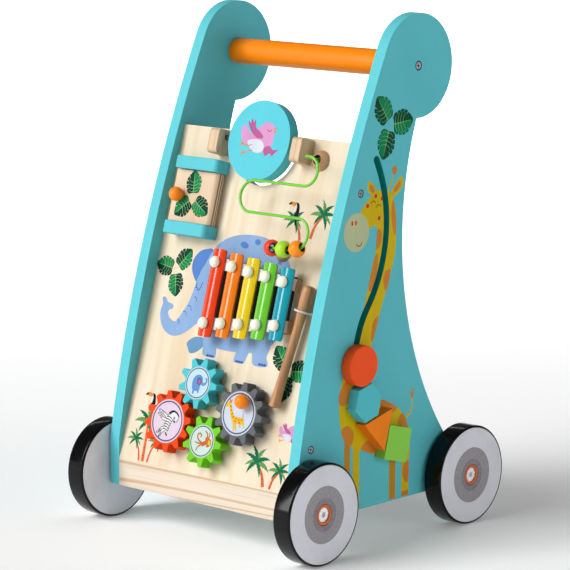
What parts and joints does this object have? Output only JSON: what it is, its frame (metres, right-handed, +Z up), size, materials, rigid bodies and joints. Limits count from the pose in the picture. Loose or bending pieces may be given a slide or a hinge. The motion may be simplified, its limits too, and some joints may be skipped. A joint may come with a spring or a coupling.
{
  "type": "baby walker",
  "caption": "Wooden push-along baby walker: two tall side panels on rubber-tyred wheels, a round push bar, and a sloping play board with gears, xylophone, bead wire, door and spinning disc.",
  "frame": {"origin": "on the floor, midway between the side panels and midway between the front and rear axles (centre of the bounding box's base)", "axes": "+X to the right as seen from the front, where the play board faces; +Y from the play board towards the child; +Z up"},
  "size_m": [0.289, 0.308, 0.493],
  "materials": {
    "turquoise_paint": null,
    "board_print": "clear-lacquered plywood with printed jungle pictures",
    "pine": "clear-lacquered",
    "beech": "clear-lacquered",
    "orange_paint": "painted satin",
    "red_paint": "painted satin",
    "green_paint": "painted satin",
    "grey_paint": "painted satin",
    "disc_paint": "painted satin with a printed bird",
    "wheel_face": "painted satin with a grey ring",
    "tyre_black": "glossy moulded rubber",
    "steel": "zinc plated",
    "orange_plastic": "moulded",
    "green_wire": "gloss coating on steel wire",
    "felt_white": "pressed felt",
    "pin_cream": "moulded",
    "elastic_white": "braided elastic",
    "bar_red": "gloss enamel on steel bar",
    "bar_orange": "gloss enamel on steel bar",
    "bar_yellow": "gloss enamel on steel bar",
    "bar_green": "gloss enamel on steel bar",
    "bar_blue": "gloss enamel on steel bar",
    "label_grey": "printed disc with a ring and a small animal",
    "label_green": "printed disc with a ring and a small animal",
    "label_red": "printed disc with a ring and a small animal",
    "label_turquoise": "printed disc with a ring and a small animal"
  },
  "bodies": {
    "frame": {"side_panel_left": "turquoise_paint", "side_panel_right": "turquoise_paint", "activity_board": "board_print", "front_rail": "pine", "rail_dowels": "beech", "handle_bar": "orange_paint", "handle_screws": "steel", "board_screws": "steel", "axle_bolts": "steel", "axle_sleeves": "orange_plastic", "axle_washers": "steel", "axle_inserts": "steel", "spinner_brackets": "beech", "door_pins": "steel", "door_rails": "disc_paint", "maze_wire": "green_wire", "maze_sockets": "beech", "xylophone_rails": "beech", "xylophone_felts": "felt_white", "xylophone_pins": "pin_cream", "bar_red": "bar_red", "bar_orange": "bar_orange", "bar_yellow": "bar_yellow", "bar_green": "bar_green", "bar_blue": "bar_blue", "gear_pegs": "steel", "mallet_loop": "elastic_white"},
    "front_left_wheel": {"wheel_front_left": "wheel_face", "tyre_front_left": "tyre_black"},
    "front_right_wheel": {"wheel_front_right": "wheel_face", "tyre_front_right": "tyre_black"},
    "rear_left_wheel": {"wheel_rear_left": "wheel_face", "tyre_rear_left": "tyre_black"},
    "rear_right_wheel": {"wheel_rear_right": "wheel_face", "tyre_rear_right": "tyre_black"},
    "disc": {"spinner_disc": "disc_paint", "spinner_pins": "beech"},
    "door": {"door_panel": "board_print", "door_knob": "orange_paint"},
    "orange_bead": {"bead_orange": "orange_paint"},
    "green_bead": {"bead_green": "green_paint"},
    "red_bead": {"bead_red": "red_paint"},
    "grey_gear": {"gear_grey": "grey_paint", "label_grey": "label_grey", "gear_knob": "orange_paint"},
    "green_gear": {"gear_green": "green_paint", "label_green": "label_green"},
    "red_gear": {"gear_red": "red_paint", "label_red": "label_red"},
    "turquoise_gear": {"gear_turquoise": "disc_paint", "label_turquoise": "label_turquoise"},
    "mallet_stick": {"mallet": "beech"},
    "square_block": {"block_square": "green_paint", "peg_square": "beech"},
    "triangle_block": {"block_triangle": "orange_paint", "peg_triangle": "beech"},
    "hexagon_block": {"block_hexagon": "turquoise_paint", "peg_hexagon": "beech"},
    "circle_block": {"block_circle": "red_paint", "peg_circle": "beech"}
  },
  "joints": [
    {"name": "front_left_wheel_roll", "type": "hinge", "parent": "frame", "child": "front_left_wheel", "pos_m": [-0.1345, -0.106, 0.048], "axis": [1, 0, 0], "continuous": true},
    {"name": "front_right_wheel_roll", "type": "hinge", "parent": "frame", "child": "front_right_wheel", "pos_m": [0.1345, -0.106, 0.048], "axis": [1, 0, 0], "continuous": true},
    {"name": "rear_left_wheel_roll", "type": "hinge", "parent": "frame", "child": "rear_left_wheel", "pos_m": [-0.1345, 0.106, 0.048], "axis": [1, 0, 0], "continuous": true},
    {"name": "rear_right_wheel_roll", "type": "hinge", "parent": "frame", "child": "rear_right_wheel", "pos_m": [0.1345, 0.106, 0.048], "axis": [1, 0, 0], "continuous": true},
    {"name": "disc_spin", "type": "hinge", "parent": "frame", "child": "disc", "pos_m": [0.001, -0.03476, 0.37021], "axis": [1, 0, 0], "continuous": true},
    {"name": "door_swing", "type": "hinge", "parent": "frame", "child": "door", "pos_m": [-0.0465, -0.05219, 0.31201], "axis": [0, 0.279, 0.9603], "range_deg": [0, 110]},
    {"name": "orange_bead_travel", "type": "hinge", "parent": "frame", "child": "orange_bead", "pos_m": [0.082, -0.07788, 0.29526], "axis": [0, -0.9603, 0.279], "range_deg": [0, 150]},
    {"name": "green_bead_spin", "type": "hinge", "parent": "frame", "child": "green_bead", "pos_m": [0.0709, -0.08207, 0.28086], "axis": [1, 0, 0], "continuous": true},
    {"name": "red_bead_spin", "type": "hinge", "parent": "frame", "child": "red_bead", "pos_m": [0.05407, -0.07937, 0.28008], "axis": [0.848, -0.5089, 0.1478], "continuous": true},
    {"name": "grey_gear_turn", "type": "hinge", "parent": "frame", "child": "grey_gear", "pos_m": [0.0453, -0.10862, 0.12675], "axis": [0, -0.9603, 0.279], "continuous": true},
    {"name": "green_gear_turn", "type": "hinge", "parent": "frame", "child": "green_gear", "pos_m": [0.00683, -0.11753, 0.09608], "axis": [0, -0.9603, 0.279], "continuous": true},
    {"name": "red_gear_turn", "type": "hinge", "parent": "frame", "child": "red_gear", "pos_m": [-0.04179, -0.11427, 0.10728], "axis": [0, -0.9603, 0.279], "continuous": true},
    {"name": "turquoise_gear_turn", "type": "hinge", "parent": "frame", "child": "turquoise_gear", "pos_m": [-0.01275, -0.10292, 0.14637], "axis": [0, -0.9603, 0.279], "continuous": true},
    {"name": "mallet_draw", "type": "slide", "parent": "frame", "child": "mallet_stick", "axis": [0.134, 0.2765, 0.9516], "range_m": [0, 0.055]},
    {"name": "square_block_travel", "type": "hinge", "parent": "frame", "child": "square_block", "pos_m": [0.122, 0.0486, 0.1727], "axis": [-1, 0, 0], "range_deg": [0, 5]},
    {"name": "triangle_block_travel", "type": "hinge", "parent": "square_block", "child": "triangle_block", "pos_m": [0.122, 0.0486, 0.1727], "axis": [-1, 0, 0], "range_deg": [0, 7]},
    {"name": "hexagon_block_travel", "type": "hinge", "parent": "triangle_block", "child": "hexagon_block", "pos_m": [0.122, 0.0486, 0.1727], "axis": [-1, 0, 0], "range_deg": [0, 9]},
    {"name": "circle_block_travel", "type": "hinge", "parent": "hexagon_block", "child": "circle_block", "pos_m": [0.122, 0.0486, 0.1727], "axis": [-1, 0, 0], "range_deg": [0, 15]}
  ],
  "couplings": [
    {"joint": "green_gear_turn", "follows": "grey_gear_turn", "ratio": -1.3333},
    {"joint": "red_gear_turn", "follows": "grey_gear_turn", "ratio": 1},
    {"joint": "turquoise_gear_turn", "follows": "grey_gear_turn", "ratio": -1.3333}
  ]
}
